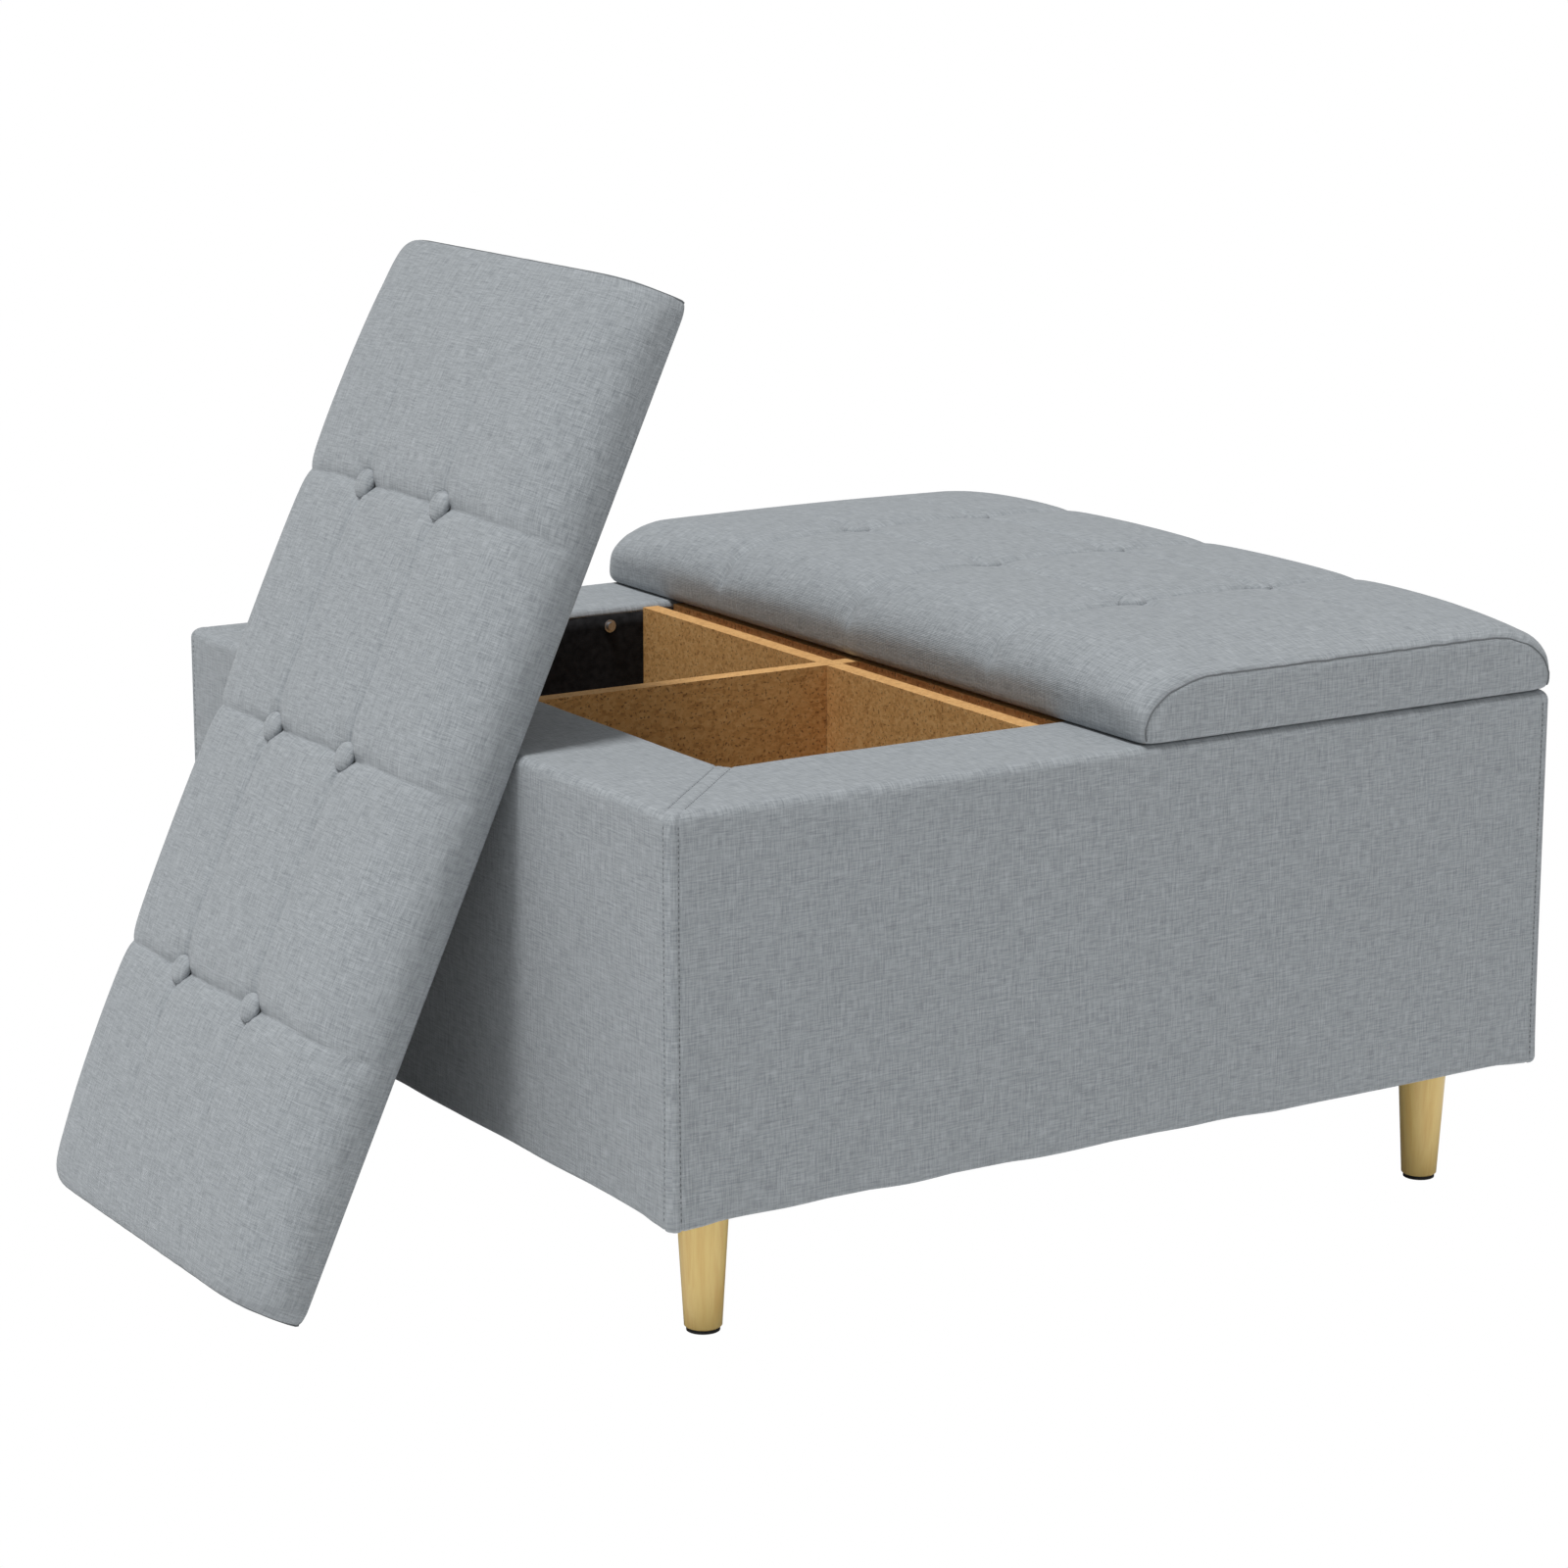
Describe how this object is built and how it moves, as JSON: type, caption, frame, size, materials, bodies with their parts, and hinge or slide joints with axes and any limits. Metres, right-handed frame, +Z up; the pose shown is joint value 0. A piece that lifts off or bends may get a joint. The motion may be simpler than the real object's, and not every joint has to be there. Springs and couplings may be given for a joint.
{
  "type": "storage ottoman",
  "caption": "Square upholstered storage ottoman on turned wooden legs, divided into compartments, with two loose button-tufted lids, one seated and one leaning.",
  "frame": {"origin": "on the floor, under the middle of the whole width, leaning lid included; the square box's own middle is 0.1184 m from it along +X", "axes": "+X to the right along the front, towards the seated lid; +Y to the back; +Z up; the leaning lid is on the -X side"},
  "size_m": [1.0368, 0.8, 0.7497],
  "materials": {
    "upholstery": "grey slub linen-look weave",
    "particleboard": "raw particleboard",
    "leg_wood": "clear-lacquered pale wood",
    "block_wood": "raw softwood",
    "black_cloth": "black non-woven cloth",
    "foam": "open-cell foam",
    "zinc_steel": "zinc plated",
    "foot_plastic": "black glide",
    "toggle_plastic": "moulded plastic",
    "twine": "waxed twine"
  },
  "bodies": {
    "base": {"back_inner_panel": "particleboard", "back_left_block": "block_wood", "back_left_leg": "leg_wood", "back_outer_panel": "particleboard", "back_right_block": "block_wood", "back_right_leg": "leg_wood", "back_rim_foam": "foam", "back_top_rail": "particleboard", "back_wall_foam": "foam", "base_board": "particleboard", "box_cover": "upholstery", "cavity_lining": "black_cloth", "cross_divider": "particleboard", "dust_cover": "black_cloth", "foot_pads": "foot_plastic", "front_inner_panel": "particleboard", "front_left_block": "block_wood", "front_left_leg": "leg_wood", "front_outer_panel": "particleboard", "front_right_block": "block_wood", "front_right_leg": "leg_wood", "front_rim_foam": "foam", "front_top_rail": "particleboard", "front_wall_foam": "foam", "hanger_bolts": "zinc_steel", "left_inner_panel": "particleboard", "left_outer_panel": "particleboard", "left_rim_foam": "foam", "left_top_rail": "particleboard", "left_wall_foam": "foam", "lining_screws": "zinc_steel", "lining_washers": "zinc_steel", "long_divider_left": "particleboard", "long_divider_right": "particleboard", "panel_screws": "zinc_steel", "right_inner_panel": "particleboard", "right_outer_panel": "particleboard", "right_rim_foam": "foam", "right_top_rail": "particleboard", "right_wall_foam": "foam", "t_nuts": "zinc_steel"},
    "seated_lid": {"seated_lid_board": "particleboard", "seated_lid_buttons": "upholstery", "seated_lid_cover": "upholstery", "seated_lid_pad": "foam", "seated_lid_toggles": "toggle_plastic", "seated_lid_twines": "twine", "seated_lid_underside_cloth": "black_cloth"},
    "leaning_lid": {"leaning_lid_board": "particleboard", "leaning_lid_buttons": "upholstery", "leaning_lid_cover": "upholstery", "leaning_lid_pad": "foam", "leaning_lid_toggles": "toggle_plastic", "leaning_lid_twines": "twine", "leaning_lid_underside_cloth": "black_cloth"}
  },
  "joints": [
    {"name": "seated_lid_lift", "type": "slide", "parent": "base", "child": "seated_lid", "axis": [0, 0, 1], "range_m": [0, 0.35]},
    {"name": "leaning_lid_tip", "type": "hinge", "parent": "base", "child": "leaning_lid", "pos_m": [-0.4675, 0.015, 0.006], "axis": [0, -1, 0], "range_deg": [0, 24.5]}
  ]
}
